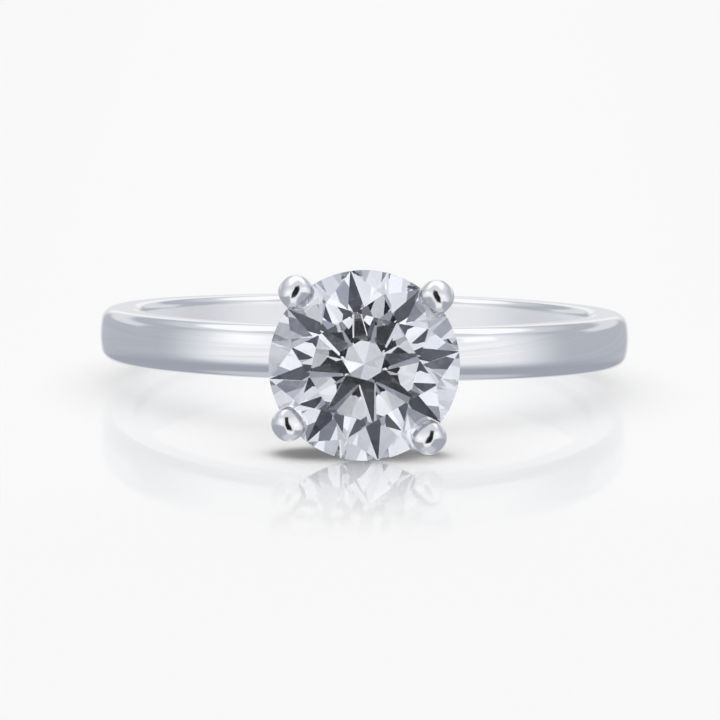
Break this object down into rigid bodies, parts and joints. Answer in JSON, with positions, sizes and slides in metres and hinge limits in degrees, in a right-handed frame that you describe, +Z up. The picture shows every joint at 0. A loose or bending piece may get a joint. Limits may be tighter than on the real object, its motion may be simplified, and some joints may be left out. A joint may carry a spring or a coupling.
{
  "type": "engagement ring",
  "caption": "Solitaire ring with a low-domed polished hoop, a claw head and a round brilliant stone, lying on its side.",
  "frame": {"origin": "centre of the bounding box's bottom face, on the surface that the ring lies on", "axes": "+Z up from that surface, -Y the way the stone faces (tilted up a little), +X to the right as seen from the stone's side"},
  "size_m": [0.0194, 0.0252, 0.0065],
  "materials": {
    "shank_metal": "polished",
    "head_metal": "polished",
    "diamond": "polished"
  },
  "bodies": {
    "root": {"shank": "shank_metal", "head_base": "head_metal", "lower_gallery_rail": "head_metal", "upper_gallery_rail": "head_metal", "claw_1": "head_metal", "claw_2": "head_metal", "claw_3": "head_metal", "claw_4": "head_metal", "diamond": "diamond"}
  },
  "joints": []
}
